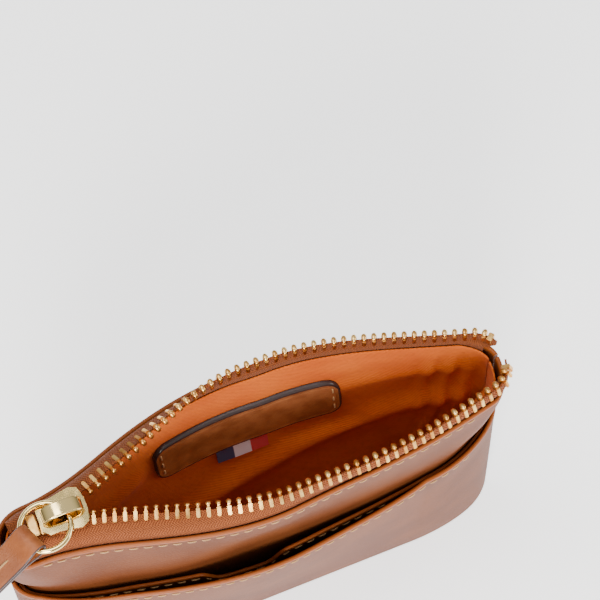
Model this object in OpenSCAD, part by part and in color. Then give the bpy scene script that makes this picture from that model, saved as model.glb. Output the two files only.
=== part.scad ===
// Zippered coin and card pouch, standing on its flat bottom with the zip open.
// Leather front and back are sewn together inside out around the sides and bottom, then turned.
// A twill lining hangs inside, a metal zip crosses the top, and a pocket lies on the front.
// Origin: centre of the flat bottom. +X right seen from the front, +Y to the back, +Z up. Millimetres.

/* [Pouch] */
// Width between the side seams
pouch_w = 132; // [110:1:165]
// Height of the leather walls
wall_h = 82; // [68:1:105]
// Depth of the foot in front of the centre
front_foot = 9.6; // [7:0.1:10]
// Depth of the foot behind the centre
back_foot = 6; // [5:0.1:9]
// How far the front wall swings out at the teeth
front_swing = 15.1; // [8:0.1:17]
// How far the back wall swings out at the teeth
back_swing = 19; // [8:0.1:21]
// Radius of the bottom corners
corner_r = 8; // [7:0.5:14]

/* [Leather and cloth] */
// Thickness of the leather panels
leather_t = 1.2; // [0.9:0.05:1.4]
// Thickness of the card slot panel
slot_t = 1.0; // [0.8:0.05:1.2]
// Thickness of the lining twill
lining_t = 0.5; // [0.4:0.05:0.8]
// Clear space between two layers
layer_gap = 0.35; // [0.25:0.05:0.45]

/* [Front pocket] */
// Height of the pocket at its open edge
pocket_h = 57; // [40:1:62]
// How far the open edge stands off the front wall
pocket_gape = 3.6; // [1:0.1:6]
// Drop of the card slot panel below the pocket edge
slot_drop = 2.5; // [1:0.5:8]
// Width of the thumb notch in the card slot panel
notch_w = 19; // [14:0.5:24]
// Depth of the thumb notch
notch_d = 8; // [5:0.5:12]

/* [Zip] */
// Distance from one tooth to the next on one tape
tooth_pitch = 2.5; // [2.2:0.05:3]
// Width of one tooth along the tape
tooth_w = 1.05; // [0.8:0.05:1.1]
// Length of one tooth across the tape
tooth_l = 3.8; // [3.4:0.1:4]
// Thickness of one tooth
tooth_t = 2.2; // [1.9:0.1:2.5]
// Thickness of the zip tape
tape_t = 0.5; // [0.4:0.05:0.6]
// Tape that is sewn in behind the leather edge
tape_hold = 6; // [4:0.5:8]
// Length of the slider
slider_l = 12; // [10.5:0.5:13]
// Width of the slider at its wide nose
slider_w = 11; // [10.8:0.1:12]

/* [Pull] */
// Outside diameter of the pull ring
ring_d = 13.5; // [12.5:0.1:16]
// Wire thickness of the pull ring
ring_wire = 1.3; // [1:0.05:1.5]
// Width of the leather pull tab
tab_w = 7.8; // [6:0.1:9]
// Length of the leather pull tab
tab_l = 38; // [25:1:50]
// Thickness of one layer of the pull tab
tab_t = 1.1; // [0.9:0.05:1.3]

/* [Label] */
// Length of the leather label inside
label_l = 51; // [30:1:60]
// Height of the leather label
label_h = 14; // [9:0.5:18]
// Thickness of the leather label
label_t = 1.3; // [1:0.1:1.6]
// Width of the woven ribbon under the label
ribbon_w = 14; // [8:0.5:18]

/* [Stitching] */
// Length of one stitch
stitch_l = 2.4; // [1.8:0.1:2.8]
// Distance from one stitch to the next
stitch_pitch = 3.4; // [3:0.1:4]
// Thickness of the thread
thread_d = 0.45; // [0.35:0.05:0.6]

/* [Hidden] */

// How deep a stitch sinks into the leather
sink = 0.12;

// Colours of the real materials
tan_leather = [0.66, 0.43, 0.32];
brown_leather = [0.42, 0.23, 0.10];
tape_brown = [0.67, 0.40, 0.24];
lining_orange = [0.85, 0.40, 0.12];
tooth_brass = [0.78, 0.62, 0.38];
pale_gold = [0.93, 0.86, 0.66];
thread_cream = [0.88, 0.75, 0.58];

// Ends and places along the zip
half_w = pouch_w / 2;
side_r_low = 26;
side_r_top = 9;
zip_end_r = 5;
foot_r = 0.9;
mouth_start = -half_w + 7;
widest_from = mouth_start + 64;
front_widest_to = widest_from + 17;
back_widest_to = widest_from + 7;
front_taper_end = half_w + 46;
back_taper_end = half_w + 22;
slider_x = -half_w + 17.5;
tilt_from = slider_x + 2.5;
zip_z = wall_h + 3.6;
swing_z = wall_h + 6;
// Half the space between the two tape edges where the zip is closed
tape_edge_y = 1.0;

// Layers counted inwards from the outside of the pouch
slot_in = leather_t + layer_gap;
front_in = slot_in + slot_t + layer_gap;
front_tape_in = front_in + leather_t + layer_gap;
front_lining_in = front_tape_in + tape_t + layer_gap;
back_tape_in = leather_t + layer_gap;
back_lining_in = back_tape_in + tape_t + layer_gap;

function clamp01(t) = min(1, max(0, t));
function ease(t) = let(c = clamp01(t)) c * c * (3 - 2 * c);
function mix(a, b, t) = a + (b - a) * t;

// Share of the full swing along the mouth, 0 at the slider and 1 at the widest part
function share(x, widest_to, taper_end) =
    x < widest_from ? ease((x - mouth_start) / (widest_from - mouth_start)) :
    x < widest_to ? 1 :
    ease((taper_end - x) / (taper_end - widest_to));
front_lean = atan(front_swing / swing_z);
back_lean = atan(back_swing / swing_z);
function front_out(x, z) = z * tan(front_lean * share(x, front_widest_to, front_taper_end));
function back_out(x, z) = z * tan(back_lean * share(x, back_widest_to, back_taper_end));

// Half thickness of the closed pouch, from the foot up to the top edge
top_left = 8;
top_right = 3.2;
function front_half(x, z) =
    mix(front_foot, front_in + mix(top_left, top_right, ease((x + 35) / 70)), ease(z / wall_h));
function back_half(x, z) =
    mix(back_foot, mix(top_left, top_right, ease((x + 35) / 45)), ease(z / wall_h));
function front_depth(x, z) = front_half(x, z) + front_out(x, z);
function back_depth(x, z) = back_half(x, z) + back_out(x, z);

// How the front pocket stands away, most in its middle and at its edge
pocket_mid = -10;
pocket_reach = 50;
function pocket_stand(x, z) =
    pocket_gape * pow(max(0, cos(90 * min(1, abs(x - pocket_mid) / pocket_reach))), 0.75) * ease(z / pocket_h);

// Reach of a layer to each side: above the pocket the front layers fill the room it leaves
function reach(inset, z, side) =
    half_w - inset + (side < 0 ? front_in * ease((z - pocket_h - 1) / 8) : 0);
// Length along the pouch over which a wall rounds off to its side seam, shorter near the mouth
function side_r(z) = mix(side_r_low, side_r_top, ease((z - 45) / (wall_h - 45)));
// The plan curve rounds off like an ellipse of radius r along the pouch
function round_off(x, ext, r) = let(d = (abs(x) - (ext - r)) / r) d <= 0 ? 1 : sqrt(max(0, 1 - d * d));
// Lowest point of a layer at x, with rounded bottom corners
function low_z(x, inset) =
    let(r = corner_r - inset, d = (abs(x) - (half_w - corner_r)) / r)
    inset + (d <= 0 ? 0 : r * (1 - sqrt(max(0, 1 - d * d))));

// Distance of a wall surface from the middle plane, counted inwards from the outside of the pouch
function wall_y(x, z, inset, side) =
    ((side < 0 ? front_depth(x, z) : back_depth(x, z)) - inset)
    * round_off(x, reach(inset, z, side), side_r(z) - inset);

// One point of a wall: s runs along the pouch from -1 to 1, row up its section from the bottom seam
wall_cols = 36;
foot_steps = 5;
wall_steps = 12;
end_s = 0.99;
function wall_point(s, row, inset, top, side, stand) =
    let(
        low = low_z((half_w - inset) * sin(90 * s * end_s), inset),
        r = max(0.8, foot_r - inset),
        x0 = (half_w - inset) * sin(90 * s * end_s),
        z = row <= foot_steps
            ? low + r * (1 - cos(90 * max(0, row - 1) / (foot_steps - 1)))
            : mix(low + r, top(x0), (row - foot_steps) / wall_steps),
        x = reach(inset, z, side) * sin(90 * s * end_s),
        off = stand(x, z) * round_off(x, reach(inset, z, side), side_r(z) - inset),
        d = wall_y(x, z, inset, side) + off,
        fr = min(r, 0.5 * d),
        y = row == 0 ? 0 :
            row <= foot_steps ? d - fr + fr * sin(90 * (row - 1) / (foot_steps - 1)) : d
    )
    [x, side * y, z];

// A closed sheet between two nested wall surfaces, up to the edge that top(x) gives
module wall_sheet(inset, t, top, side, cols, stand) {
    rows = foot_steps + wall_steps;
    outer = [for (i = [0:cols], j = [0:rows]) wall_point(2 * i / cols - 1, j, inset, top, side, stand)];
    inner = [for (i = [0:cols], j = [0:rows]) wall_point(2 * i / cols - 1, j, inset + t, top, side, stand)];
    closed_sheet(concat(outer, inner), cols, rows, side);
}

// A closed sheet from two grids of points, the skin further from the middle plane first
module closed_sheet(points, cols, rows, side) {
    n = (cols + 1) * (rows + 1);
    function id(i, j, k) = k * n + i * (rows + 1) + j;
    skin = [for (i = [0:cols - 1], j = [0:rows - 1]) [[i, j], [i + 1, j], [i + 1, j + 1], [i, j + 1]]];
    outer = [for (q = skin) [for (c = q) id(c[0], c[1], 0)]];
    inner = [for (q = skin) [for (k = [3:-1:0]) id(q[k][0], q[k][1], 1)]];
    bottom = [for (i = [0:cols - 1]) [id(i, 0, 0), id(i, 0, 1), id(i + 1, 0, 1), id(i + 1, 0, 0)]];
    top = [for (i = [0:cols - 1]) [id(i, rows, 0), id(i + 1, rows, 0), id(i + 1, rows, 1), id(i, rows, 1)]];
    left = [for (j = [0:rows - 1]) [id(0, j, 0), id(0, j + 1, 0), id(0, j + 1, 1), id(0, j, 1)]];
    right = [for (j = [0:rows - 1]) [id(cols, j, 0), id(cols, j, 1), id(cols, j + 1, 1), id(cols, j + 1, 0)]];
    quads = concat(outer, inner, bottom, top, left, right);
    tris = [for (q = quads, h = [2, 3]) [q[0], q[h - 1], q[h]]];
    polyhedron(points, side < 0 ? [for (t = tris) [t[2], t[1], t[0]]] : tris);
}

flat = function(x, z) 0;
slot_edge = function(x)
    pocket_h - slot_drop - notch_d * (1 - ease((abs(x - pocket_mid) - notch_w / 2 + 4) / 6));

// Wall panels and linings
module back_panel() {
    color(tan_leather) wall_sheet(0, leather_t, function(x) wall_h, 1, wall_cols, flat);
}
module front_panel() {
    color(tan_leather) wall_sheet(front_in, leather_t, function(x) wall_h, -1, wall_cols, flat);
}
module pocket_panel() {
    color(tan_leather)
    wall_sheet(0, leather_t, function(x) pocket_h, -1, wall_cols, function(x, z) pocket_stand(x, z));
}
module card_slot_panel() {
    color(tan_leather)
    wall_sheet(slot_in, slot_t, slot_edge, -1, wall_cols, function(x, z) 0.4 * pocket_stand(x, z));
}
module front_lining() {
    color(lining_orange) wall_sheet(front_lining_in, lining_t, function(x) wall_h - 1, -1, wall_cols, flat);
}
module back_lining() {
    color(lining_orange) wall_sheet(back_lining_in, lining_t, function(x) wall_h - 1, 1, wall_cols, flat);
}

// The zip. Its tooth line is the edge of the tape, which the teeth clamp
zip_reach = half_w + 0.5;
tape_left = -half_w + 4;
tape_grip = 1.7;
function zip_y(x, side) =
    (tape_edge_y + (side < 0 ? front_out(x, zip_z) : back_out(x, zip_z))) * round_off(x, zip_reach, zip_end_r);
// Tilt of the teeth: flat at the slider, standing up where the mouth is wide
function zip_tilt(x, side) =
    side < 0 ? mix(3, 65, ease((x - tilt_from) / 66)) : mix(3, 88, ease((x - tilt_from) / 52));
function heading(x, side) = atan((zip_y(x + 0.05, side) - zip_y(x - 0.05, side)) / 0.1);
// Next place along the tooth line, one arc length further
function along(x, side, len) =
    x + len * cos(heading(x + 0.5 * len * cos(heading(x, side)), side));
teeth_end = half_w - 1.2;
function tooth_line(x, side) = x > teeth_end ? [] : concat([x], tooth_line(along(x, side, tooth_pitch), side));
first_tooth = slider_x - slider_l / 2 + 0.3;
front_places = tooth_line(first_tooth, -1);
back_places = tooth_line(first_tooth + tooth_pitch / 2, 1);

// Section of a tape at t from 0, deep behind the leather, to 1, its edge between the teeth
hold_steps = 2;
bend_steps = 5;
function curve(p0, p1, p2, p3, t) =
    pow(1 - t, 3) * p0 + 3 * t * pow(1 - t, 2) * p1 + 3 * t * t * (1 - t) * p2 + t * t * t * p3;
function tape_middle(s, row, side) =
    let(
        inset = (side < 0 ? front_tape_in : back_tape_in) + tape_t / 2,
        ext = reach(inset, wall_h, side) - 1,
        s0 = asin(tape_left / ext) / 90,
        s1 = asin(tape_left / zip_reach) / 90,
        xh = ext * sin(90 * mix(s0, end_s - 0.01, s)),
        xd = zip_reach * sin(90 * mix(s1, 0.93, s)),
        zh = wall_h - tape_hold * (1 - min(1, row / hold_steps)),
        edge = [xd, zip_y(xd, side), zip_z],
        tilt = zip_tilt(xd, side),
        grip = edge + tape_grip * [0, cos(tilt), -sin(tilt)],
        leave = [xh, wall_y(xh, wall_h, inset, side), wall_h],
        k = norm(grip - leave) / 3
    )
    row <= hold_steps ? [xh, wall_y(xh, zh, inset, side), zh] :
    row <= hold_steps + bend_steps
        ? curve(leave, leave + [0, 0, k], grip + k * [0, cos(tilt), -sin(tilt)], grip, (row - hold_steps) / bend_steps)
        : edge;
function unit(v) = v / max(0.0001, norm(v));
function tape_point(s, row, side, half_t) =
    let(
        last = hold_steps + bend_steps + 1,
        up = unit(tape_middle(s, min(last, row + 1), side) - tape_middle(s, max(0, row - 1), side)),
        along_s = unit(tape_middle(min(1, s + 0.01), row, side) - tape_middle(max(0, s - 0.01), row, side)),
        out = unit(cross(up, along_s)),
        p = tape_middle(s, row, side) + half_t * out
    )
    [p[0], side * p[1], p[2]];
module zip_tape(side) {
    cols = 40;
    rows = hold_steps + bend_steps + 1;
    outer = [for (i = [0:cols], j = [0:rows]) tape_point(i / cols, j, side, tape_t / 2)];
    inner = [for (i = [0:cols], j = [0:rows]) tape_point(i / cols, j, side, -tape_t / 2)];
    closed_sheet(concat(outer, inner), cols, rows, side);
}
module front_tape() { color(tape_brown) zip_tape(-1); }
module back_tape() { color(tape_brown) zip_tape(1); }

// A tooth: two legs clamp the tape edge, and a head reaches into the mouth
tooth_fit = 0.16;
module on_zip(x, side) {
    turn = side < 0 ? -heading(x, side) : 180 + heading(x, side);
    translate([x, side * zip_y(x, side), zip_z])
    rotate([0, 0, turn])
    rotate([zip_tilt(x, side), 0, 0])
    children();
}
module clamp_shape(w, head) {
    h = tooth_t / 2;
    slot = tape_t / 2 + tooth_fit;
    rotate([90, 0, 90])
    linear_extrude(w, center = true)
    polygon([[-tape_grip, -h], [head - 0.8, -h], [head, -h + 0.4], [head, h - 0.4], [head - 0.8, h],
             [-tape_grip, h], [-tape_grip, slot], [tooth_fit, slot], [tooth_fit, -slot], [-tape_grip, -slot]]);
}
module front_teeth() {
    color(tooth_brass) for (x = front_places) on_zip(x, -1) clamp_shape(tooth_w, tooth_l - tape_grip);
}
module back_teeth() {
    color(tooth_brass) for (x = back_places) on_zip(x, 1) clamp_shape(tooth_w, tooth_l - tape_grip);
}
stop_w = 1.6;
function stop_place(places, side) = along(places[len(places) - 1], side, (tooth_w + stop_w) / 2 + 0.25);
module front_top_stop() {
    color(tooth_brass) on_zip(stop_place(front_places, -1), -1) clamp_shape(stop_w, 1.1);
}
module back_top_stop() {
    color(tooth_brass) on_zip(stop_place(back_places, 1), 1) clamp_shape(stop_w, 1.1);
}
bottom_stop_l = 2.2;
module bottom_stop() {
    stop_x = first_tooth - tooth_w / 2 - 0.3 - bottom_stop_l / 2;
    slot = tape_t + 0.5;
    color(tooth_brass)
    difference() {
        translate([stop_x, 0, zip_z]) cube([bottom_stop_l, 5.6, tooth_t + 0.4], center = true);
        for (side = [-1, 1])
            translate([stop_x, side * (tape_edge_y + 2), zip_z]) cube([bottom_stop_l + 1, 4.3, slot], center = true);
    }
}

// The slider: two plates joined by a wedge at the nose, with lips that keep the tapes in
plate_t = 0.9;
channel = tooth_t + 1.0;
lip = 0.7;
tail_w = slider_w - 2;
lip_end = slider_l / 2 - 5;
slider_top = zip_z + channel / 2 + plate_t;
module slider_plate(z) {
    r = 1.6;
    translate([0, 0, z])
    linear_extrude(plate_t)
    polygon([[-slider_l / 2, -tail_w / 2 + r], [-slider_l / 2 + r, -tail_w / 2], [-slider_l / 2 + 4, -tail_w / 2],
             [slider_l / 2 - 2.6, -slider_w / 2], [slider_l / 2 - 0.8, -slider_w / 2 + 0.9],
             [slider_l / 2, -1.5], [slider_l / 2, 1.5], [slider_l / 2 - 0.8, slider_w / 2 - 0.9],
             [slider_l / 2 - 2.6, slider_w / 2], [-slider_l / 2 + 4, tail_w / 2],
             [-slider_l / 2 + r, tail_w / 2], [-slider_l / 2, tail_w / 2 - r]]);
}
module slider_body() {
    color(pale_gold)
    translate([slider_x, 0, zip_z]) {
        slider_plate(channel / 2);
        slider_plate(-channel / 2 - plate_t);
        // Wedge that parts the two rows of teeth
        translate([0, 0, -channel / 2 - 0.01])
        linear_extrude(channel + 0.02)
        polygon([[slider_l / 2 - 3, -0.25], [slider_l / 2 - 0.5, -0.9], [slider_l / 2 - 0.5, 0.9],
                 [slider_l / 2 - 3, 0.25]]);
        // Lips along both sides, with room for the tape between them
        for (side = [-1, 1], up = [0, 1]) {
            room = up == 1 ? tape_t / 2 + 0.35 : tape_t / 2 + 0.9;
            z = up == 1 ? room : -channel / 2 - 0.01;
            translate([0, 0, z])
            linear_extrude(channel / 2 - room + 0.01)
            polygon([[-slider_l / 2 + 2, side * (tail_w / 2 - lip)], [-slider_l / 2 + 4, side * (tail_w / 2 - lip)],
                     [lip_end, side * (slider_w / 2 - lip - 0.15)], [lip_end, side * (slider_w / 2 - 0.15)],
                     [-slider_l / 2 + 4, side * tail_w / 2], [-slider_l / 2 + 2, side * tail_w / 2]]);
        }
    }
}

// The crown: an arched strap along the slider that the ring passes under
crown_w = 3.8;
crown_t = 0.9;
crown_back = 5.4;
crown_front = 5.2;
crown_rise = ring_wire + 1.9;
function crown_arc(l0, l1, h, n) = [for (i = [0:n]) let(a = 180 - 180 * i / n)
    [(a > 90 ? l0 : l1) * (a > 90 ? -pow(abs(cos(a)), 0.8) : pow(cos(a), 0.8)), h * pow(sin(a), 0.75)]];
module slider_crown() {
    n = 14;
    outer = crown_arc(crown_back, crown_front, crown_rise, n);
    inner = crown_arc(crown_back - crown_t, crown_front - crown_t, crown_rise - crown_t, n);
    color(pale_gold)
    translate([slider_x, crown_w / 2, slider_top])
    rotate([90, 0, 0])
    linear_extrude(crown_w)
    polygon(concat(outer, [for (i = [n:-1:0]) inner[i]]));
}

// The ring hangs through the crown and lies over the closed end of the zip
ring_turn = 23;
ring_r = (ring_d - ring_wire) / 2;
eye_x = slider_x + 0.6;
eye_z = slider_top + ring_wire / 2 + 0.15;
module pull_ring() {
    color(pale_gold)
    translate([eye_x, 0, eye_z])
    rotate([0, 0, ring_turn])
    translate([-ring_r, 0, 0])
    rotate_extrude($fn = 96)
    translate([ring_r, 0]) circle(d = ring_wire, $fn = 32);
}

// The pull tab: one strip of leather, thinned where it is folded round the ring, and sewn to itself
tab_drop = 7;
fold_t = 0.8;
// Length over which the two layers close behind the ring
fold_l = 6;
// The ring curves inside the fold, so the eye is wider than the wire
ring_bow = ring_r - sqrt(ring_r * ring_r - tab_w * tab_w / 4);
eye_gap = 0.2;
eye_r = (ring_bow + ring_wire) / 2 + eye_gap;
tab_pivot = 2 * ring_r - ring_bow / 2;
module at_tab() {
    translate([eye_x, 0, eye_z])
    rotate([0, 0, ring_turn])
    translate([-tab_pivot, 0, 0])
    rotate([0, -tab_drop, 0])
    children();
}
module pull_tab() {
    loop_r = eye_r + fold_t;
    color(tan_leather)
    at_tab()
    rotate([90, 0, 0])
    linear_extrude(tab_w, center = true)
    difference() {
        union() {
            circle(r = loop_r, $fn = 48);
            translate([-2, -loop_r]) square([2, 2 * loop_r]);
            polygon([[-2, -loop_r], [-2, loop_r], [-fold_l, tab_t], [-tab_l + 1, tab_t], [-tab_l, tab_t - 0.4],
                     [-tab_l, -tab_t + 0.4], [-tab_l + 1, -tab_t], [-fold_l, -tab_t]]);
        }
        circle(r = eye_r, $fn = 48);
        polygon([[0, -eye_r], [0, eye_r], [-fold_l - 1.5, 0]]);
    }
}
tab_stitch_pitch = 5;
tab_stitch_l = 4;
module pull_tab_stitching() {
    color(thread_cream)
    at_tab()
    for (x = [fold_l + 2.2:tab_stitch_pitch:tab_l - 3], up = [-1, 1])
        translate([-x, 0, up * (tab_t + thread_d / 2 - sink)])
        rotate([0, 90, 0]) cylinder(h = tab_stitch_l, d = thread_d, center = true, $fn = 16);
}

// The label and ribbon on the back lining
label_x = 3;
label_top = wall_h - 10;
inside = back_lining_in + lining_t + 0.15;
module wall_patch(x0, x1, z0, z1, inset, t, cols, rows) {
    function at(i, j, in) = let(x = mix(x0, x1, i / cols), z = mix(z0, z1, j / rows)) [x, wall_y(x, z, in, 1), z];
    outer = [for (i = [0:cols], j = [0:rows]) at(i, j, inset)];
    inner = [for (i = [0:cols], j = [0:rows]) at(i, j, inset + t)];
    closed_sheet(concat(outer, inner), cols, rows, 1);
}
module label_patch() {
    color(brown_leather)
    wall_patch(label_x - label_l / 2, label_x + label_l / 2, label_top - label_h, label_top, inside, label_t, 14, 3);
}
module label_stitching() {
    in = inside + label_t + thread_d / 2 - sink;
    color(thread_cream)
    for (side = [-1, 1], k = [-1, 0, 1]) {
        x = label_x + side * (label_l / 2 - 2.2);
        z = label_top - label_h / 2 + k * 3.4;
        translate([x, wall_y(x, z, in, 1), z])
        rotate([-back_lean, 0, 0])
        cylinder(h = 2, d = thread_d, center = true, $fn = 16);
    }
}
ribbon_x = 1;
ribbon_show = 6;
module ribbon_tag() {
    top = label_top - label_h - 0.1;
    color("white")
    wall_patch(ribbon_x - ribbon_w / 2, ribbon_x + ribbon_w / 2, top - ribbon_show, top, inside, 0.6, 6, 2);
}

// Rows of stitches that lie on a wall
module stitch_row(inset, side, z_at, stand, from, to) {
    out = thread_d / 2 - sink;
    function place(x) = let(z = z_at(x)) [x, side * (wall_y(x, z, inset, side) + stand(x, z) + out), z];
    for (x = [from:stitch_pitch:to]) {
        a = place(x - stitch_l / 2);
        b = place(x + stitch_l / 2);
        v = b - a;
        translate((a + b) / 2)
        rotate([0, acos(v[2] / norm(v)), atan2(v[1], v[0])])
        cylinder(h = stitch_l, d = thread_d, center = true, $fn = 16);
    }
}
row_in = 2.2;
row_end = half_w - 10;
module front_zip_stitching() {
    color(thread_cream) stitch_row(front_in, -1, function(x) wall_h - row_in, flat, -row_end, row_end);
}
module back_zip_stitching() {
    color(thread_cream) stitch_row(0, 1, function(x) wall_h - row_in, flat, -row_end, row_end);
}
module pocket_stitching() {
    color(thread_cream)
    stitch_row(0, -1, function(x) pocket_h - row_in, function(x, z) pocket_stand(x, z), -row_end, row_end);
}
module card_slot_stitching() {
    color(thread_cream)
    stitch_row(slot_in, -1, function(x) slot_edge(x) - row_in, function(x, z) 0.4 * pocket_stand(x, z),
               pocket_mid - 40, pocket_mid + 40);
}

back_panel();
front_panel();
pocket_panel();
card_slot_panel();
front_lining();
back_lining();
front_tape();
back_tape();
front_teeth();
back_teeth();
front_top_stop();
back_top_stop();
bottom_stop();
slider_body();
slider_crown();
pull_ring();
pull_tab();
pull_tab_stitching();
label_patch();
label_stitching();
ribbon_tag();
front_zip_stitching();
back_zip_stitching();
pocket_stitching();
card_slot_stitching();
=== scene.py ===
import math

import bmesh
import bpy
import numpy as np
from mathutils import Matrix, Vector


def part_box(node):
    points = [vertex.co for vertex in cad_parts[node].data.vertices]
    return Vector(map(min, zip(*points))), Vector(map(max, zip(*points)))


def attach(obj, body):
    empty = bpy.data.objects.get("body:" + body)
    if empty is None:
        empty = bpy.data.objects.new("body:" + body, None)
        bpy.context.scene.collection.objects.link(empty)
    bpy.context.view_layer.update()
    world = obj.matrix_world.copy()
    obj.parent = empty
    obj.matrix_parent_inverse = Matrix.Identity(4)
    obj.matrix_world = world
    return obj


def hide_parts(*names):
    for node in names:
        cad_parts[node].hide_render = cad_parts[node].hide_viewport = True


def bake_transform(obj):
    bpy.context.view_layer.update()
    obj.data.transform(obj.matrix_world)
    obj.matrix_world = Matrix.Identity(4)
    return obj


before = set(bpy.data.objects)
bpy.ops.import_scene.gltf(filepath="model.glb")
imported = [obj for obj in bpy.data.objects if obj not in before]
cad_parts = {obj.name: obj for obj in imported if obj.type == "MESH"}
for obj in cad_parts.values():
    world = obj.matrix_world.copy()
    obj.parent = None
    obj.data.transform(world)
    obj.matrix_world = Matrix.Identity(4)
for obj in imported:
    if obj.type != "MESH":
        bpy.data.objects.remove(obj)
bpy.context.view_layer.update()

# ---------------------------------------------------------------- front and back walls
# Two panels of fine-grained tan leather, sewn together inside out round the sides and the
# bottom and then turned. Their top edges are cut clean and painted, and the zip is sewn in behind.
MM = 0.001
END_SHARE = 0.99
wall_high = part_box("back_panel")[1]
half_w = wall_high.x / MM / math.sin(math.radians(90 * END_SHARE))
wall_h = wall_high.z / MM
leather_t = 1.2
slot_t = 1.0
tape_t = 0.5
lining_t = 0.5
layer_gap = 0.35
corner_r = 8
foot_r = 0.9
front_foot, back_foot = 9.6, 6
front_swing, back_swing = 15.1, 19
front_taper_end, back_taper_end = 46, 22
pocket_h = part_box("pocket_panel")[1].z / MM
slot_in = leather_t + layer_gap
front_in = slot_in + slot_t + layer_gap
front_tape_in = front_in + leather_t + layer_gap
front_lining_in = front_tape_in + tape_t + layer_gap
back_tape_in = leather_t + layer_gap
back_lining_in = back_tape_in + tape_t + layer_gap
zip_z = wall_h + 3.6
swing_z = wall_h + 6
mouth_start = -half_w + 7
widest_from = mouth_start + 64
corner_x = half_w - 6


def ease(t):
    c = np.clip(t, 0, 1)
    return c * c * (3 - 2 * c)


def mix(a, b, t):
    return a + (b - a) * t


class Side:
    """One half of the pouch: where it lies, how far it swings open, and where it is cut into
    stretches.
    """

    def __init__(self, name, sign, foot, swing, widest_to, taper_end, fill, narrow):
        self.name, self.sign, self.foot, self.fill, self.narrow = name, sign, foot, fill, narrow
        self.widest_to, self.taper_end = widest_to, taper_end
        self.lean = math.atan(swing / swing_z)
        self.chain = name + "_chain"

    def share(self, x):
        rise = ease((x - mouth_start) / (widest_from - mouth_start))
        fall = ease((self.taper_end - x) / (self.taper_end - self.widest_to))
        return np.where(x < widest_from, rise, np.where(x < self.widest_to, 1.0, fall))

    def out(self, x, z):
        return z * np.tan(self.lean * self.share(x))

    def depth(self, x, z):
        top = self.fill + mix(8, 3.2, ease((x + 35) / self.narrow))
        return mix(self.foot, top, ease(z / wall_h)) + self.out(x, z)

    def sections(self):
        """Stretches along the pouch, each with the span where it would bend as the mouth closes."""
        cut = (widest_from + self.widest_to) / 2
        turn = (self.taper_end - corner_x) / (self.taper_end - self.widest_to)
        curl = half_w - (half_w - corner_x) / turn
        return [
            ("left", -1e3, cut, mouth_start, widest_from),
            ("right", cut, corner_x, self.taper_end, self.widest_to),
            ("corner", corner_x, 1e3, half_w, curl),
        ]


front = Side(
    "front", -1, front_foot, front_swing, widest_from + 17, half_w + front_taper_end, front_in, 70
)
back = Side("back", 1, back_foot, back_swing, widest_from + 7, half_w + back_taper_end, 0, 45)


def reach(inset, z, side):
    spare = front_in * ease((z - pocket_h - 1) / 8) if side is front else 0
    return half_w - inset + spare


def side_r(z):
    return mix(26, 9, ease((z - 45) / (wall_h - 45)))


def round_off(x, ext, r):
    d = np.clip((np.abs(x) - (ext - r)) / r, 0, 1)
    return np.sqrt(1 - d * d)


def low_z(x, inset):
    r = corner_r - inset
    d = np.clip((np.abs(x) - (half_w - corner_r)) / r, 0, 1)
    return inset + r * (1 - np.sqrt(1 - d * d))


def wall_y(x, z, inset, side):
    return (side.depth(x, z) - inset) * round_off(x, reach(inset, z, side), side_r(z) - inset)


def columns(side):
    """Places along the pouch, closer together at its ends, with one at each cut."""
    xs = half_w * np.sin(np.radians(90 * END_SHARE * np.linspace(-1, 1, 171)))
    cuts = [s[2] for s in side.sections()[:2]]
    xs = np.array([x for x in xs if min(abs(x - c) for c in cuts) > 0.35])
    return np.sort(np.concatenate([xs, cuts]))


def stretch(x, inset, z, side):
    """The same columns on a layer with another reach: only the ends past the corners move."""
    ext = reach(inset, z, side) * math.sin(math.radians(90 * END_SHARE))
    full = half_w * math.sin(math.radians(90 * END_SHARE))
    past = np.clip((np.abs(x) - corner_x) / (full - corner_x), 0, 1)
    return np.where(past > 0, np.sign(x) * (corner_x + past * (ext - corner_x)), x)


def skin(side, inset, top, stand, sag, steps=(7, 64), trim=0.0):
    """One face of a layer as a grid of points from the bottom seam to just under its edge."""
    foot_steps, wall_steps = steps
    xs = columns(side)
    low = low_z(stretch(xs, inset, 0.0, side), inset)
    grid = []
    for row in range(foot_steps + wall_steps + 1):
        r = max(0.8, foot_r - inset)
        if row <= foot_steps:
            a = math.pi / 2 * max(0, row - 1) / (foot_steps - 1)
            z = low + r * (1 - math.cos(a))
        else:
            z = mix(low + r, top(xs) - trim, (row - foot_steps) / wall_steps)
        x = stretch(xs, inset, z, side)
        off = round_off(x, reach(inset, z, side), side_r(z) - inset)
        d = wall_y(x, z, inset, side) + (stand(x, z) + sag(x, z)) * off
        if row == 0:
            y = np.zeros_like(xs)
        elif row <= foot_steps:
            fr = np.minimum(r, 0.5 * d)
            y = d - fr + fr * math.sin(math.pi / 2 * (row - 1) / (foot_steps - 1))
        else:
            y = d
        grid.append(np.stack([x, side.sign * y, z], 1))
    return np.array(grid).transpose(1, 0, 2)


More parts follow.
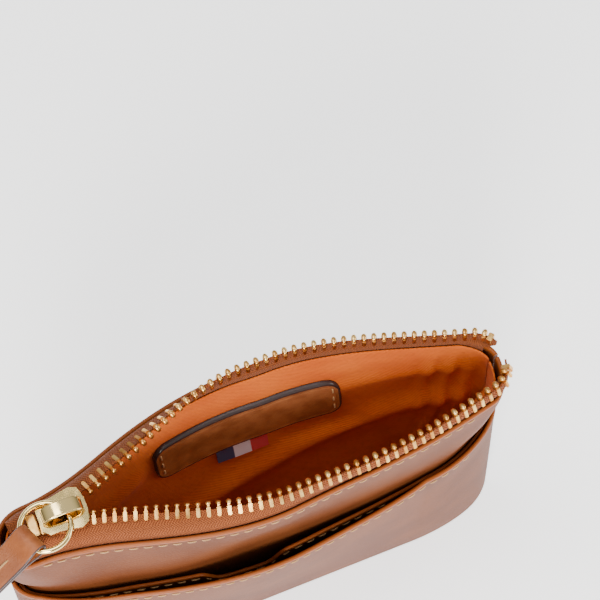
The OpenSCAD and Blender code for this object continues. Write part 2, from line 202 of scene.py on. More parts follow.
def layer(side, inset, t, top, stand, sag, lip_steps=7):
    """A closed layer: outer face, rounded edge, inner face. Gives points and their flat places."""
    outer = skin(side, inset, top, stand, sag, trim=t / 2)
    inner = skin(side, inset + t, top, stand, sag, trim=t / 2)
    middle = (outer[:, -1] + inner[:, -1]) / 2
    across = (outer[:, -1] - inner[:, -1]) / 2
    rise = outer[:, -1] - outer[:, -2]
    rise /= np.linalg.norm(rise, axis=1)[:, None]
    lip = []
    for k in range(1, lip_steps):
        a = math.pi * k / lip_steps
        lip.append(middle + across * math.cos(a) + rise * (t / 2) * math.sin(a))
    lip = np.array(lip).transpose(1, 0, 2)
    points = np.concatenate([outer, lip, inner[:, ::-1]], 1)
    steps = np.linalg.norm(np.diff(outer, axis=1), axis=2)
    up = np.concatenate([np.zeros((len(outer), 1)), np.cumsum(steps, 1)], 1)
    edge = up[:, -1:] + t / 2
    height = np.concatenate([up, np.repeat(edge, lip_steps - 1, 1), up[:, ::-1]], 1)
    width = np.repeat(points[:, :1, 0], points.shape[1], 1)
    return points, np.stack([width, height, edge - height], 2)


def tube_faces(cols, rim):
    """Faces of a closed rim carried along its columns, with an end face at each end."""
    faces = []
    for i in range(cols - 1):
        for j in range(rim):
            k = (j + 1) % rim
            faces.append((i * rim + j, (i + 1) * rim + j, (i + 1) * rim + k, i * rim + k))
    for end, flip in ((0, False), ((cols - 1) * rim, True)):
        for j in range(rim // 2 - (1 - rim % 2)):
            quad = [end + j, end + j + 1, end + rim - 2 - j, end + rim - 1 - j]
            quad = list(dict.fromkeys(quad))
            if len(quad) > 2:
                faces.append(tuple(quad[::-1] if flip else quad))
    return faces


def piece(name, points, faces, place=None):
    """A mesh piece from points in millimetres, with each point's flat place kept on it."""
    mesh = bpy.data.meshes.new(name)
    mesh.from_pydata((np.asarray(points).reshape(-1, 3) * MM).tolist(), [], faces)
    mesh.update()
    if place is not None:
        spots = mesh.attributes.new("place", "FLOAT_VECTOR", "POINT")
        spots.data.foreach_set("vector", np.asarray(place, np.float32).reshape(-1))
    work = bmesh.new()
    work.from_mesh(mesh)
    bmesh.ops.recalc_face_normals(work, faces=work.faces)
    work.to_mesh(mesh)
    work.free()
    mesh.polygons.foreach_set("use_smooth", [True] * len(mesh.polygons))
    mesh.set_sharp_from_angle(angle=math.radians(50))
    thing = bpy.data.objects.new(name, mesh)
    bpy.context.scene.collection.objects.link(thing)
    return thing


def wall_pieces(name, side, points, place, finish):
    """Cuts a layer at the section lines into pieces, one for each stretch."""
    made = []
    xs = columns(side)
    for part, low, high, start, end in side.sections():
        keep = np.where((xs >= low - 1e-6) & (xs <= high + 1e-6))[0]
        grid = points[keep]
        thing = piece(f"{name}_{part}", grid, tube_faces(len(keep), grid.shape[1]), place[keep])
        thing.data.materials.append(finish)
        start * MM
        end * MM
        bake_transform(thing)
        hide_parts(name)
        made.append(thing)
    return made


def rgb(r, g, b):
    """A colour as the eye reads it, 0 to 255, turned into light."""
    parts = [c / 255 for c in (r, g, b)]
    return [c / 12.92 if c < 0.04045 else ((c + 0.055) / 1.055) ** 2.4 for c in parts] + [1.0]


class Value:
    """A number that varies over a surface. Arithmetic on it adds the nodes."""

    def __init__(self, finish, socket):
        self.finish, self.socket = finish, socket

    def math(self, operation, a, b=0.0):
        return self.finish.node("ShaderNodeMath", {"operation": operation}, {0: a, 1: b})

    def __add__(self, other):
        return self.math("ADD", self, other)

    __radd__ = __add__

    def __sub__(self, other):
        return self.math("SUBTRACT", self, other)

    def __rsub__(self, other):
        return self.math("SUBTRACT", other, self)

    def __mul__(self, other):
        return self.math("MULTIPLY", self, other)

    __rmul__ = __mul__

    def __truediv__(self, other):
        return self.math("DIVIDE", self, other)

    def __abs__(self):
        return self.math("ABSOLUTE", self)

    def fraction(self):
        return self.math("FRACT", self)

    def wave(self):
        return self.math("SINE", self) * 0.5 + 0.5

    def band(self, low, high):
        """0 under low, 1 over high, soft between them."""
        spread = {"From Min": low, "From Max": high}
        ranged = {"interpolation_type": "SMOOTHSTEP"}
        return self.finish.node("ShaderNodeMapRange", ranged, {"Value": self, **spread})


class Finish:
    """One material, built node by node around a Principled shader."""

    def __init__(self, name):
        self.material = bpy.data.materials.new(name)
        self.material.use_nodes = True
        self.tree = self.material.node_tree
        self.tree.nodes.clear()
        self.shader = self.tree.nodes.new("ShaderNodeBsdfPrincipled")
        surface = self.tree.nodes.new("ShaderNodeOutputMaterial")
        self.tree.links.new(self.shader.outputs[0], surface.inputs["Surface"])

    def node(self, kind, settings, values, output=0):
        made = self.tree.nodes.new(kind)
        for key, setting in settings.items():
            setattr(made, key, setting)
        for key, value in values.items():
            self.put(made.inputs[key], value)
        return Value(self, made.outputs[output])

    def put(self, socket, value):
        if isinstance(value, Value):
            self.tree.links.new(value.socket, socket)
        else:
            socket.default_value = value

    def set(self, **values):
        for key, value in values.items():
            self.put(self.shader.inputs[key.replace("_", " ")], value)

    def place(self):
        """Flat place on the piece, in millimetres: along, up, and down from the edge."""
        return self.node("ShaderNodeAttribute", {"attribute_name": "place"}, {}, "Vector")

    def axis(self, vector, index):
        return self.node("ShaderNodeSeparateXYZ", {}, {0: vector}, index)

    def noise(self, vector, scale, detail=3.0, rough=0.55):
        values = {"Vector": vector, "Scale": scale, "Detail": detail, "Roughness": rough}
        return self.node("ShaderNodeTexNoise", {}, values, 0)

    def cells(self, vector, scale):
        values = {"Vector": vector, "Scale": scale, "Smoothness": 0.4}
        return self.node("ShaderNodeTexVoronoi", {"feature": "SMOOTH_F1"}, values, 0)

    def blend(self, factor, a, b):
        settings = {"data_type": "RGBA"}
        return self.node("ShaderNodeMix", settings, {0: factor, 6: a, 7: b}, 2)

    def bump(self, height, depth, strength=1.0):
        values = {"Height": height, "Distance": depth * MM, "Strength": strength}
        return self.node("ShaderNodeBump", {}, values)


def leather_finish(name, deep, pale, edge, worn):
    """Fine pebbled grain, cloudy dye, a smooth painted band along the cut edge."""
    made = Finish(name)
    spot = made.place()
    below = made.axis(spot, 2)
    paint = 1 - below.band(0.95, 1.2)
    pebble = made.cells(spot, 1.5)
    pores = made.noise(spot, 2.6, 4)
    cloud = made.noise(spot, 0.055, 3).band(0.3, 0.7)
    colour = made.blend(cloud, deep, pale)
    colour = made.blend(pebble.band(0.25, 0.75) * 0.28 + pores.band(0.5, 0.75) * 0.14, colour, worn)
    colour = made.blend(paint, colour, edge)
    crease = (1 - abs(below - 1.45).band(0, 0.35)) * -0.7
    seam = (1 - abs(below - 2.2).band(0, 0.6)) * -0.5
    grain = (pebble * -1.0 + pores * 0.6) * (1 - paint) * 0.5
    made.set(Base_Color=colour, Roughness=mix(0.56, 0.42, paint) + (pores - 0.5) * 0.14)
    made.set(Normal=made.bump(grain + crease + seam, 0.16, 0.8))
    made.set(Specular_IOR_Level=0.22)
    return made.material


tan_leather = leather_finish(
    "tan_leather", rgb(98, 49, 20), rgb(114, 61, 28), rgb(140, 72, 26), rgb(82, 40, 17)
)


def flat(x, z):
    return 0.0


def front_sag(x, z):
    """The front wall sinks a little between the zip seam and the thumb notch."""
    hill = ease((z - 34) / 22) * ease((74 - z) / 12)
    return hill * (-1.3 * np.exp(-(((x + 4) / 13) ** 2)) + 0.5 * np.exp(-(((x + 30) / 12) ** 2)))


def level(height):
    return lambda x: np.full_like(x, height)


points, place = layer(back, 0, leather_t, level(wall_h), flat, flat)
wall_pieces("back_panel", back, points, place, tan_leather)
points, place = layer(front, front_in, leather_t, level(wall_h), flat, front_sag)
wall_pieces("front_panel", front, points, place, tan_leather)

# ---------------------------------------------------------------- front pocket and card slot
# A second leather panel lies over the front, sewn in at the sides and bottom and open at its
# top. Behind it is a thinner panel with a thumb notch, which makes the card slot.
pocket_gape = 3.6
slot_drop = 2.5
notch_w = 19
notch_d = 8
pocket_mid = -10
pocket_reach = 50


def pocket_stand(x, z):
    span = np.cos(math.pi / 2 * np.minimum(1, np.abs(x - pocket_mid) / pocket_reach))
    return pocket_gape * np.maximum(0, span) ** 0.75 * ease(z / pocket_h)


def slot_stand(x, z):
    return 0.4 * pocket_stand(x, z)


def slot_edge(x):
    rise = ease((np.abs(x - pocket_mid) - notch_w / 2 + 4) / 6)
    return pocket_h - slot_drop - notch_d * (1 - rise)


points, place = layer(front, 0, leather_t, level(pocket_h), pocket_stand, flat)
wall_pieces("pocket_panel", front, points, place, tan_leather)
points, place = layer(front, slot_in, slot_t, slot_edge, slot_stand, flat)
wall_pieces("card_slot_panel", front, points, place, tan_leather)

# ---------------------------------------------------------------- lining
# A bag of orange twill that hangs inside, sewn in along the zip. It is cut a little large, so it
# rests in long slanting folds and bunches up in the right corner.
lining_h = wall_h - 1


def ridge(x, z, at_x, at_z, slope, reach_x, width):
    line = at_z + slope * (x - at_x)
    return np.exp(-(((z - line) / width) ** 2)) * ease(1.6 - np.abs(x - at_x) / reach_x)


def folds(side):
    def fold(x, z):
        hold = ease((wall_h - 2 - z) / 9) * ease(z / 18) * ease((half_w - 1 - np.abs(x)) / 8)
        corner = ease((x - 42) / 12)
        pleat = np.sin((x - 0.28 * z) * 1.25 + 1.4 * np.sin(z * 0.11)) * 0.5 + 0.5
        if side is back:
            clear = 1 - ease(1 - (np.abs(x - 3) - 27) / 5) * ease((z - 50) / 4)
            depth = 2.4 * ridge(x, z, 26, 50, 0.30, 48, 4.2) * clear
            depth = depth + 1.5 * ridge(x, z, -36, 60, 0.42, 20, 3.0) * clear
            depth = depth + 1.0 * ridge(x, z, 44, 70, 0.16, 22, 2.2)
        else:
            depth = 1.7 * ridge(x, z, 20, 44, 0.24, 46, 4.0)
            depth = depth + 1.1 * ridge(x, z, 40, 64, 0.3, 20, 2.6)
        return -hold * (depth + 1.3 * corner * pleat)

    return fold


def lining_finish():
    """Orange twill: slanting ribs, slightly uneven yarns, a soft matt surface."""
    made = Finish("orange_twill")
    spot = made.place()
    along, up = made.axis(spot, 0), made.axis(spot, 1)
    rib = ((along * 0.62 + up) * (2 * math.pi / 0.62)).wave()
    yarn = ((along - up * 0.5) * (2 * math.pi / 0.34)).wave()
    slub = made.noise(spot, 0.9, 3)
    cloud = made.noise(spot, 0.07, 2).band(0.3, 0.7)
    colour = made.blend(cloud, rgb(204, 92, 20), rgb(218, 108, 28))
    colour = made.blend((1 - rib) * 0.42 + slub.band(0.45, 0.8) * 0.18, colour, rgb(140, 54, 8))
    made.set(Base_Color=colour, Roughness=0.86, Specular_IOR_Level=0.2)
    made.set(Normal=made.bump(rib * 0.8 + yarn * 0.3 + slub * 0.5, 0.12, 0.8))
    made.set(Sheen_Weight=0.05, Sheen_Roughness=0.5)
    return made.material


orange_twill = lining_finish()


def declare_cloth(side, first, tall):
    """Works out the flat sizes of the cloth, each stretch as wide as it is along X with the pouch
    shut and flat, but keeps none of them. The right corner is the end of the same cloth as the
    stretch beside it."""
    cut = side.sections()[0][2]
    (cut - first) * MM
    tall * MM
    wide = (corner_x - cut) * MM
    tall * MM


for side, inset in ((front, front_lining_in), (back, back_lining_in)):
    points, place = layer(side, inset, lining_t, level(lining_h), flat, folds(side), 4)
    if side is front:
        sagged, _ = layer(side, inset, lining_t, level(lining_h), flat, front_sag, 4)
        plain, _ = layer(side, inset, lining_t, level(lining_h), flat, flat, 4)
        points = points + sagged - plain
    name = side.name + "_lining"
    cloth = wall_pieces(name, side, points, place, orange_twill)
    declare_cloth(side, inset - half_w, lining_h + side.foot)

# ---------------------------------------------------------------- zip tapes
# Two woven herringbone tapes. Each is held between the leather and the lining, rolls up out of
# the seam, and carries the teeth clamped on its edge.
zip_reach = half_w + 0.5
zip_end_r = 5
tape_edge_y = 1.0
tape_left = -half_w + 4
tape_grip = 1.7
tape_hold = 6
# Half of a number 5 zip, from the back edge to the middle of the teeth
tape_cut = 15
tilt_from = mouth_start + 13
HOLD_STEPS = 3
BEND_STEPS = 14


def zip_y(x, side):
    return (tape_edge_y + side.out(x, zip_z)) * round_off(x, zip_reach, zip_end_r)


def zip_tilt(x, side):
    most, over = (65, 66) if side is front else (88, 52)
    return np.radians(mix(3, most, ease((x - tilt_from) / over)))


def unit(v):
    return v / np.maximum(1e-6, np.linalg.norm(v, axis=-1, keepdims=True))


def to_end(x, end):
    """Columns past the right corner are spread so that the last one lies at end."""
    past = np.clip((x - corner_x) / (half_w - corner_x), 0, 1)
    return np.where(past > 0, corner_x + past * (end - corner_x), x)


def tape_middle(x, side):
    """The tape's middle surface: rows from deep behind the leather up to the toothed edge."""
    inset = (front_tape_in if side is front else back_tape_in) + tape_t / 2
    xh = to_end(x, reach(inset, wall_h, side) - 1.1)
    xd = to_end(x, zip_reach - 0.4)
    edge = np.stack([xd, zip_y(xd, side), np.full_like(xd, zip_z)], 1)
    tilt = zip_tilt(xd, side)
    down = np.stack([np.zeros_like(xd), np.cos(tilt), -np.sin(tilt)], 1)
    grip = edge + tape_grip * down
    leave = np.stack([xh, wall_y(xh, wall_h, inset, side), np.full_like(xh, wall_h)], 1)
    k = np.linalg.norm(grip - leave, axis=1)[:, None] / 3
    rows = []
    for row in range(HOLD_STEPS):
        z = wall_h - tape_hold * (1 - row / HOLD_STEPS)
        rows.append(np.stack([xh, wall_y(xh, z, inset, side), np.full_like(xh, z)], 1))
    for row in range(BEND_STEPS + 1):
        t = row / BEND_STEPS
        a, b = leave + [0, 0, 1] * k, grip + k * down
        u = 1 - t
        rows.append(u**3 * leave + 3 * t * u * u * a + 3 * t * t * u * b + t**3 * grip)
    for part in (0.5, 1.0):
        rows.append(mix(grip, edge, part))
    return np.array(rows).transpose(1, 0, 2)


def tape_finish():
    """Brown herringbone weave that turns over every 2.4 mm, with raised, slightly fuzzy yarns."""
    made = Finish("herringbone_tape")
    spot = made.place()
    along, up = made.axis(spot, 0), made.axis(spot, 1)
    zigzag = abs((up / 2.4).fraction() - 0.5) * 2.4
    rib = ((along + zigzag) * (2 * math.pi / 0.72)).wave()
    cross = (up * (2 * math.pi / 0.42)).wave()
    fuzz = made.noise(spot, 3.0, 3)
    colour = made.blend(rib * 0.75 + fuzz * 0.25, rgb(98, 44, 14), rgb(160, 86, 40))
    made.set(Base_Color=colour, Roughness=0.82, Specular_IOR_Level=0.25)
    made.set(Normal=made.bump(rib + cross * 0.35 + fuzz * 0.5, 0.2, 0.9))
    made.set(Sheen_Weight=0.05, Sheen_Roughness=0.5)
    return made.material


herringbone = tape_finish()
for side in (front, back):
    cuts = [part[2] for part in side.sections()[:2]]
    ends = [tape_left, *cuts, half_w]
    spans = [np.linspace(a, b, int((b - a) / 0.7) + 2) for a, b in zip(ends, ends[1:])]
    x = np.unique(np.concatenate(spans))
    middle = tape_middle(x, side)
    upward = unit(np.gradient(middle, axis=1))
    sideways = unit(np.gradient(middle, axis=0))
    facing = unit(np.cross(upward, sideways)) * (tape_t / 2)
    strip = np.concatenate([middle + facing, (middle - facing)[:, ::-1]], 1)
    strip[:, :, 1] *= side.sign
    climb = np.linalg.norm(np.diff(middle, axis=1), axis=2)
    up = np.concatenate([np.zeros((len(x), 1)), np.cumsum(climb, 1)], 1)
    run = np.concatenate([[0], np.cumsum(np.linalg.norm(np.diff(middle[:, -1], axis=0), axis=1))])
    up = np.concatenate([up, up[:, ::-1]], 1)
    place = np.stack([np.repeat(run[:, None], up.shape[1], 1), up, np.full_like(up, 9.0)], 2)
    for part, low, high, start, end in side.sections():
        keep = np.where((x >= low - 1e-6) & (x <= high + 1e-6))[0]
        faces = tube_faces(len(keep), strip.shape[1])
        tape = piece(f"{side.name}_tape_{part}", strip[keep], faces, place[keep])
        tape.data.materials.append(herringbone)
        start * MM
        end * MM
        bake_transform(tape)
        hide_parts(side.name + "_tape")
    declare_cloth(side, tape_left, tape_cut)

# ---------------------------------------------------------------- zip teeth and stops
# Brass teeth, each stamped with two legs and clamped over the corded edge of its tape. A round
# head on a slim neck reaches into the mouth. A wider stop ends each row at the right.
tooth_pitch = 2.5
tooth_l = 3.8
tooth_t = 2.2
slider_x = -half_w + 17.5
slider_l = 12
first_tooth = slider_x - slider_l / 2 + 0.3
teeth_end = half_w - 1.2


def heading(x, side):
    return math.atan(float(zip_y(x + 0.05, side) - zip_y(x - 0.05, side)) / 0.1)


def along_zip(x, side, length):
    halfway = x + 0.5 * length * math.cos(heading(x, side))
    return x + length * math.cos(heading(halfway, side))


def tooth_places(x, side):
    places = []
    while x <= teeth_end:
        places.append(x)
        x = along_zip(x, side, tooth_pitch)
    return places


def rounded_box(work, low, high, round_by, segments=2):
    size = [b - a for a, b in zip(low, high)]
    middle = [(a + b) / 2 for a, b in zip(low, high)]
    where = Matrix.Translation(middle) @ Matrix.Diagonal((*size, 1))
    made = bmesh.ops.create_cube(work, size=1, matrix=where)["verts"]
    edges = {e for v in made for e in v.link_edges}
    bmesh.ops.bevel(work, geom=list(edges), offset=round_by, segments=segments, affect="EDGES")


def ball(work, centre, radii, rings=(10, 7)):
    where = Matrix.Translation(centre) @ Matrix.Diagonal((*radii, 1))
    around, up = rings
    bmesh.ops.create_uvsphere(work, u_segments=around, v_segments=up, radius=1, matrix=where)


def tooth_shape(width, head):
    """A tooth at the origin: tape edge along X, head towards +Y, thickness along Z."""
    work = bmesh.new()
    leg, skin_t = width * 0.44, tape_t / 2
    for up in (-1, 1):
        low, high = sorted((up * (skin_t + 0.04), up * tooth_t / 2))
        rounded_box(work, (-leg, -tape_grip, low), (leg, 0.35, high), 0.16)
    rounded_box(work, (-leg, 0.05, -tooth_t / 2), (leg, 0.75, tooth_t / 2), 0.16)
    if head > 1.5:
        rounded_box(work, (-width * 0.27, 0.4, -0.66), (width * 0.27, head - 0.6, 0.66), 0.12)
        ball(work, (0, head - 0.5, 0), (width * 0.7, 0.52, 1.04))
    made = bpy.data.meshes.new("tooth")
    work.to_mesh(made)
    work.free()
    points = np.array([v.co for v in made.vertices])
    faces = [tuple(f.vertices) for f in made.polygons]
    bpy.data.meshes.remove(made)
    return points, faces


def on_zip(x, side):
    turn = -heading(x, side) if side is front else math.pi + heading(x, side)
    tilt = float(zip_tilt(x, side))
    spot = Matrix.Translation((x, side.sign * float(zip_y(x, side)), zip_z))
    return spot @ Matrix.Rotation(turn, 4, "Z") @ Matrix.Rotation(tilt, 4, "X")


def many(shape, wheres):
    """Copies one shape to several places, as one set of points and faces."""
    points, faces = shape
    flat_one = np.c_[points, np.ones(len(points))]
    out_points = [(flat_one @ np.array(w).T)[:, :3] for w in wheres]
    out_faces = [tuple(v + k * len(points) for v in f) for k in range(len(wheres)) for f in faces]
    return np.concatenate(out_points), out_faces


def brass_finish():
    """Satin brass: warm, lightly scuffed, its tone and dullness varying at random."""
    made = Finish("satin_brass")
    spot = made.node("ShaderNodeTexCoord", {}, {}, "Object")
    scuff = made.noise(spot, 900, 4)
    tone = made.noise(spot, 260, 2)
    colour = made.blend(tone.band(0.35, 0.7), rgb(206, 146, 74), rgb(246, 204, 128))
    made.set(Base_Color=colour, Metallic=1.0, Roughness=0.26 + scuff * 0.2)
    made.set(Normal=made.bump(scuff, 0.02, 0.5))
    return made.material


satin_brass = brass_finish()
tooth_w = 1.05
stop_w = 1.6
stop_reach = 1.1
tooth = tooth_shape(tooth_w, tooth_l - tape_grip)
stop = tooth_shape(stop_w, stop_reach)
stop_gap = 0.25 + (tooth_w + stop_w) / 2
for side, offset in ((front, 0.0), (back, tooth_pitch / 2)):
    places = tooth_places(first_tooth + offset, side)
    for part, low, high, start, end in side.sections():
        here = [x for x in places if low <= x < high]
        points, faces = many(tooth, [on_zip(x, side) for x in here])
        row = piece(f"{side.name}_teeth_{part}", points, faces)
        row.data.materials.append(satin_brass)
        start * MM
        end * MM
        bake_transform(row)
        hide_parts(side.name + "_teeth")
    points, faces = many(stop, [on_zip(along_zip(places[-1], side, stop_gap), side)])
    end_stop = piece(f"{side.name}_end_stop", points, faces)
    end_stop.data.materials.append(satin_brass)
    start, end = side.sections()[2][3:]
    start * MM
    end * MM
    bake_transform(end_stop)
    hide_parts(side.name + "_top_stop")


def softened(name, node, round_by, segments, finish, body):
    """A packed metal part with its edges rounded, as polishing leaves them."""
    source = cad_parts[node].data
    work = bmesh.new()
    work.from_mesh(source)
    bmesh.ops.remove_doubles(work, verts=work.verts, dist=0.00001)
    bmesh.ops.dissolve_limit(work, angle_limit=math.radians(2), verts=work.verts, edges=work.edges)
    shared = [e for e in work.edges if len(e.link_faces) == 2]
    sharp = [e for e in shared if e.calc_face_angle() > math.radians(25)]
    cut = {"offset": round_by * MM, "segments": segments, "affect": "EDGES"}
    bmesh.ops.bevel(work, geom=sharp, clamp_overlap=True, **cut)
    mesh = bpy.data.meshes.new(name)
    work.to_mesh(mesh)
    work.free()
    mesh.polygons.foreach_set("use_smooth", [True] * len(mesh.polygons))
    thing = bpy.data.objects.new(name, mesh)
    bpy.context.scene.collection.objects.link(thing)
    mesh.set_sharp_from_angle(angle=math.radians(35))
    mesh.materials.append(finish)
    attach(thing, body)
    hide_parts(node)


softened("closed_end_stop", "bottom_stop", 0.2, 2, satin_brass, "pouch")

# ---------------------------------------------------------------- slider
# A cast slider with two plates and a wedge between them, and an arched crown over the top that
# holds the ring. It is polished and plated in pale gold.


def gold_finish():
    """Polished pale gold with faint hairlines and fingerprints in the polish."""
    made = Finish("pale_gold")
    spot = made.node("ShaderNodeTexCoord", {}, {}, "Object")
    haze = made.noise(spot, 220, 4)
    tone = made.noise(spot, 90, 2)
    colour = made.blend(tone, rgb(236, 200, 118), rgb(252, 228, 166))
    made.set(Base_Color=colour, Metallic=1.0, Roughness=0.07 + haze.band(0.4, 0.8) * 0.1)
    made.set(Normal=made.bump(haze, 0.01, 0.25))
    return made.material


pale_gold = gold_finish()
softened("slider_plates", "slider_body", 0.3, 3, pale_gold, "slider")
softened("slider_arch", "slider_crown", 0.3, 3, pale_gold, "slider")

# ---------------------------------------------------------------- pull ring
# One turn of round wire, joined and polished with the slider. It hangs loose in the crown.
ring_d = 13.5
ring_wire = 1.3
ring_r = (ring_d - ring_wire) / 2
ring_turn = math.radians(23)
channel = tooth_t + 1.0
plate_t = 0.9
eye_x = slider_x + 0.6
eye_z = zip_z + channel / 2 + plate_t + ring_wire / 2 + 0.15
at_ring = Matrix.Translation((eye_x, 0, eye_z)) @ Matrix.Rotation(ring_turn, 4, "Z")


def wire_ring(radius, wire, turns=96, round_steps=20):
    points = []
    for i in range(turns):
        a = 2 * math.pi * i / turns
        for j in range(round_steps):
            b = 2 * math.pi * j / round_steps
            far = radius + wire / 2 * math.cos(b)
            points.append((far * math.cos(a), far * math.sin(a), wire / 2 * math.sin(b)))
    faces = []
    for i in range(turns):
        for j in range(round_steps):
            k, m = (i + 1) % turns, (j + 1) % round_steps
            corners = [(i, j), (k, j), (k, m), (i, m)]
            faces.append(tuple(p * round_steps + q for p, q in corners))
    return np.array(points), faces


points, faces = many(wire_ring(ring_r, ring_wire), [at_ring @ Matrix.Translation((-ring_r, 0, 0))])
ring = piece("polished_ring", points, faces)
ring.data.materials.append(pale_gold)
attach(ring, "ring")
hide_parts("pull_ring")

# ---------------------------------------------------------------- pull tab
# One strip of tan leather, thinned and folded round the ring, glued and sewn to itself. Its cut
# edges are painted dark.
tab_w = 7.8
tab_l = 38
tab_t = 1.1
fold_t = 0.8
ring_bow = ring_r - math.sqrt(ring_r**2 - tab_w**2 / 4)
eye_r = (ring_bow + ring_wire) / 2 + 0.2
tab_pivot = 2 * ring_r - ring_bow / 2
tab_drop = math.radians(7)
fold_l = 6
at_tab = at_ring @ Matrix.Translation((-tab_pivot, 0, 0)) @ Matrix.Rotation(-tab_drop, 4, "Y")


def strap_path():
    """Middle line and thickness of the strip: out along the top, round the ring, back below."""
    inner, thick = [], []
    round_r = eye_r + fold_t / 2
    for x in np.linspace(tab_l, fold_l, 40):
        inner.append((-x, tab_t / 2 + 0.02))
        thick.append(tab_t - 0.04)
    for t in np.linspace(0, 1, 16)[1:]:
        inner.append((-fold_l * (1 - t), mix(tab_t / 2 + 0.02, round_r, ease(t) ** 1.4)))
        thick.append(mix(tab_t - 0.04, fold_t, ease(t)))
    for a in np.linspace(90, 0, 14)[1:]:
        r = math.radians(a)
        inner.append((round_r * math.cos(r), round_r * math.sin(r)))
        thick.append(fold_t)
    upper = list(zip(inner, thick))
    lower = [((x, -y), t) for (x, y), t in upper[-2::-1]]
    return upper + lower


def strap():
    path = strap_path()
    line = np.array([p for p, _ in path])
    heading_ = unit(np.gradient(line, axis=0))
    normal = np.stack([-heading_[:, 1], heading_[:, 0]], 1)
    run = np.concatenate([[0], np.cumsum(np.linalg.norm(np.diff(line, axis=0), axis=1))])
    across = []
    bead = 0.32
    for side_sign in (1, -1):
        for y in np.linspace(-side_sign, side_sign, 9) * (tab_w / 2 - bead):
            across.append((y, side_sign * 0.5))
        for a in np.radians((30, 60, 90, 120, 150)):
            edge = tab_w / 2 - bead + bead * math.sin(a)
            across.append((side_sign * edge, side_sign * 0.5 * math.cos(a)))
    grid, place = [], []
    for (p, t), n, r in zip(path, normal, run):
        near_end = min(1.0, (min(r, run[-1] - r) + 0.02) / 0.4)
        for y, share_t in across:
            q = p + n * share_t * t * math.sqrt(near_end)
            grid.append((q[0], y, q[1]))
            place.append((r, y, tab_w / 2 - abs(y) + min(0.9, min(r, run[-1] - r))))
    return np.array(grid), tube_faces(len(path), len(across)), np.array(place)


def tab_finish():
    """Vegetable tan strap leather, smooth and worn warm, with thick dark paint on its edges."""
    made = Finish("strap_leather")
    spot = made.place()
    inside_edge = abs(made.axis(spot, 1))
    paint = inside_edge.band(tab_w / 2 - 0.34, tab_w / 2 - 0.2)
    grain = made.cells(spot, 2.0)
    pores = made.noise(spot, 2.2, 4)
    cloud = made.noise(spot, 0.16, 3).band(0.3, 0.7)
    colour = made.blend(cloud, rgb(134, 70, 28), rgb(158, 90, 44))
    colour = made.blend(pores.band(0.5, 0.8) * 0.3, colour, rgb(140, 76, 44))
    colour = made.blend(paint, colour, rgb(66, 48, 46))
    made.set(Base_Color=colour, Roughness=mix(0.5, 0.3, paint) + (pores - 0.5) * 0.14)
    made.set(Normal=made.bump((grain * -0.7 + pores * 0.6) * (1 - paint), 0.1, 0.8))
    made.set(Specular_IOR_Level=0.42)
    return made.material


points, faces, place = strap()
points = (np.c_[points, np.ones(len(points))] @ np.array(at_tab).T)[:, :3]
tab = piece("folded_strap", points, faces, place)
tab.data.materials.append(tab_finish())
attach(tab, "tab")
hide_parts("pull_tab")

# ---------------------------------------------------------------- stitching
# Waxed cream thread, sewn with a gap at each hole. Every stitch is a short swelling run of
# twisted thread that dips into the leather at both ends.
stitch_pitch = 3.4
stitch_l = 2.4
thread_d = 0.45
sink = 0.12
row_in = 2.2
row_end = 56
slot_row = (-50, 30)
long_stitch_l = 4
long_stitch_pitch = 5


def stitch_shape(length, thick, rings=13, sides=10):
    """One stitch along X at the origin: fuller in its middle, bent down into its holes."""
    points, faces = [], []
    for i in range(rings):
        t = i / (rings - 1) * 2 - 1
        r = thick / 2 * max(0.12, (1 - abs(t) ** 6)) ** 0.5
        drop = -thick * 0.55 * abs(t) ** 3
        for j in range(sides):
            a = 2 * math.pi * j / sides
            points.append((t * length / 2, r * math.cos(a), drop + r * math.sin(a)))
    for i in range(rings - 1):
        for j in range(sides):
            k = (j + 1) % sides
            a, b = i * sides, (i + 1) * sides
            faces.append((a + j, a + k, b + k, b + j))
    faces.append(tuple(range(sides)))
    faces.append(tuple((rings - 1) * sides + j for j in reversed(range(sides))))
    return np.array(points), faces


def thread_finish():
    """Waxed cream thread: fine slanting plies, a soft sheen, slightly grubby."""
    made = Finish("cream_thread")
    spot = made.node("ShaderNodeTexCoord", {}, {}, "Object")
    ply = ((made.axis(spot, 0) + made.axis(spot, 2)) * (2 * math.pi / 0.00042)).wave()
    dirt = made.noise(spot, 700, 3)
    colour = made.blend(ply * 0.7 + dirt * 0.3, rgb(160, 112, 62), rgb(202, 160, 106))
    made.set(Base_Color=colour, Roughness=0.6, Normal=made.bump(ply, 0.05, 0.7))
    made.set(Sheen_Weight=0.15)
    return made.material


cream_thread = thread_finish()
stitch = stitch_shape(stitch_l, thread_d * 0.9)


def lie(a, b, outward):
    """Place of a stitch that runs from a to b and lies on a face that looks outward."""
    run = Vector(b - a).normalized()
    side_way = Vector(outward).cross(run).normalized()
    face = run.cross(side_way)
    turn = Matrix((run, side_way, face)).transposed().to_4x4()
    return Matrix.Translation(Vector((a + b) / 2)) @ turn


def seam(node, side, inset, at_z, stand, sag, first, last):
    out = thread_d / 2 - sink

    def spot(x):
        z = float(np.asarray(at_z(x)).reshape(-1)[0])
        y = float(wall_y(x, z, inset, side)) + float(stand(x, z)) + float(sag(x, z)) + out
        return np.array([x, side.sign * y, z])

    places = np.arange(first, last + 0.01, stitch_pitch)
    for part, low, high, start, end in side.sections():
        wheres = []
        for x in places[(places >= low) & (places < high)]:
            a, b = spot(x - stitch_l / 2), spot(x + stitch_l / 2)
            up_wall = [0, side.sign * math.sin(side.lean), math.cos(side.lean)]
            outward = np.cross(b - a, up_wall) * -side.sign
            wheres.append(lie(a, b, outward))
        if not wheres:
            continue
        points, faces = many(stitch, wheres)
        row = piece(f"{node}_{part}", points, faces)
        row.data.materials.append(cream_thread)
        start * MM
        end * MM
        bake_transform(row)
        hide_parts(node)


def below_edge(x):
    return np.asarray(wall_h - row_in)


